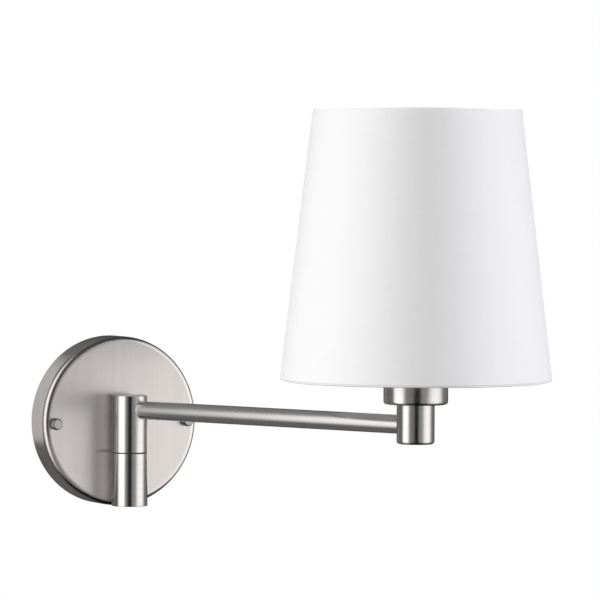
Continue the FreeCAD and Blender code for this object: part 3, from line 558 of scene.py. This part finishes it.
def make_canopy_panels():
    """One lights the face more towards its right, one the rim's lower edge and one its upper left."""
    low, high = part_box("canopy")
    face = Vector((0, low.y, 0))
    rim = Vector((low.x, (low.y + high.y) / 2, 0))
    canopy_panel("plate_glow", face, (1, 0.965, 0.95), azimuth=88, distance=0.37, height=0.05,
                 size=(0.5, 0.7), power=0.86)
    canopy_panel("low_glow", rim, PANEL_WHITE, azimuth=-10, distance=0.42, height=-0.30,
                 size=(0.70, 0.40), power=0.30)
    canopy_panel("rim_glow", rim, PANEL_WHITE, azimuth=-130, distance=0.50, height=0.07,
                 size=(0.50, 0.44), power=0.40)


# ---- studio ----

# Heights are those of a unit vector that points at a place in the studio.
GLOW_HEIGHTS = (0.05, 0.95)  # the tall glows fade between these, upwards and downwards
ROOM_HEIGHTS = (-0.4, 0.5)
ROOM_SHARES = (0.75, 0.85)  # the dim room's strength at those heights
CEILING_HEIGHTS = (0.2, 0.8)
CEILING_STRENGTH = 0.08
MATT_AMBIENT = 0.01
FLOOR_DROP = 0.30  # the floor's distance below the CAD box
FLOOR_REACH = 30


def glow(tree, level, azimuth, flat, soft, strength):
    """A tall soft patch of light in the studio.

    It is full over the flat half width and gone after the soft width beside it, both in degrees."""
    across = vector_math(tree, "DOT_PRODUCT", level, direction(azimuth)).outputs["Value"]
    angle = work_out(tree, "ARCCOSINE", across)
    return fade(tree, angle, math.radians(flat), math.radians(flat + soft), strength)


def total(tree, values):
    result = values[0]
    for value in values[1:]:
        result = work_out(tree, "ADD", result, value)
    return result


def painted_studio(tree):
    """What reflections show: four tall glows, a wide dim one behind on the left, and a faint ceiling."""
    way = add(tree, "ShaderNodeTexCoord").outputs["Generated"]
    height = add(tree, "ShaderNodeSeparateXYZ", inputs={0: way}).outputs["Z"]
    steep = work_out(tree, "ABSOLUTE", height)
    flattened = vector_math(tree, "MULTIPLY", way, (1, 1, 0)).outputs[0]
    level = vector_math(tree, "NORMALIZE", flattened).outputs[0]
    boxes = total(tree, [
        glow(tree, level, azimuth=-25, flat=9, soft=15, strength=0.26),
        glow(tree, level, azimuth=76, flat=7, soft=34, strength=1.55),
        glow(tree, level, azimuth=38, flat=16, soft=10, strength=0.36),
        glow(tree, level, azimuth=122, flat=18, soft=22, strength=0.22),
    ])
    front = work_out(tree, "MULTIPLY", boxes, fade(tree, steep, *GLOW_HEIGHTS))
    room = glow(tree, level, azimuth=-130, flat=25, soft=40, strength=0.22)
    shaded = work_out(tree, "MULTIPLY", room, spread(tree, height, *ROOM_SHARES, *ROOM_HEIGHTS))
    ceiling = spread(tree, height, 0.0, CEILING_STRENGTH, *CEILING_HEIGHTS)
    return add(tree, "ShaderNodeBackground", inputs={
        "Color": WARM_WHITE, "Strength": total(tree, [front, shaded, ceiling]),
    })


def make_world():
    """White to the eye. Glossy surfaces see the painted studio, and matt ones a dim even light."""
    world = bpy.data.worlds.new("studio")
    bpy.context.scene.world = world
    world.cycles.sampling_method = "NONE"
    world.use_nodes = True
    tree = world.node_tree
    tree.nodes.clear()
    seen = painted_studio(tree)
    even = add(tree, "ShaderNodeBackground", inputs={"Color": (1, 1, 1, 1), "Strength": MATT_AMBIENT})
    white = add(tree, "ShaderNodeBackground", inputs={"Color": (1, 1, 1, 1), "Strength": 1.0})
    ray = add(tree, "ShaderNodeLightPath")
    lit = add(tree, "ShaderNodeMixShader", inputs={
        0: ray.outputs["Is Glossy Ray"], 1: even.outputs[0], 2: seen.outputs[0],
    })
    both = add(tree, "ShaderNodeMixShader", inputs={
        0: ray.outputs["Is Camera Ray"], 1: lit.outputs[0], 2: white.outputs[0],
    })
    output = add(tree, "ShaderNodeOutputWorld")
    tree.links.new(both.outputs[0], output.inputs["Surface"])


def make_floor():
    """A wide floor well below the lamp, as white as the background and clear from its underside.

    It gives off its own white, and takes no shadow and no part in the lighting."""
    level = cad_box[0].z - FLOOR_DROP
    sides = ((-1, -1), (1, -1), (1, 1), (-1, 1))
    mesh = bpy.data.meshes.new("floor")
    mesh.from_pydata([(x * FLOOR_REACH, y * FLOOR_REACH, level) for x, y in sides], [], [(0, 1, 2, 3)])
    floor = bpy.data.objects.new("floor", mesh)
    bpy.context.scene.collection.objects.link(floor)
    made, tree, output = material("floor")
    pale = add(tree, "ShaderNodeEmission", inputs={"Color": (1, 1, 1, 1), "Strength": 1.0})
    clear = add(tree, "ShaderNodeBsdfTransparent")
    below = add(tree, "ShaderNodeNewGeometry").outputs["Backfacing"]
    one_sided = add(tree, "ShaderNodeMixShader", inputs={0: below, 1: pale.outputs[0], 2: clear.outputs[0]})
    tree.links.new(one_sided.outputs[0], output.inputs["Surface"])
    mesh.materials.append(made)
    floor.visible_glossy = False
    floor.visible_diffuse = False
    floor.visible_transmission = False
    floor.visible_shadow = False


finish_cad_nodes()
make_shade_cover()
make_camera()
make_fill_lights()
make_left_softbox()
make_canopy_panels()
make_world()
make_floor()
bpy.context.scene.view_settings.view_transform = "Standard"
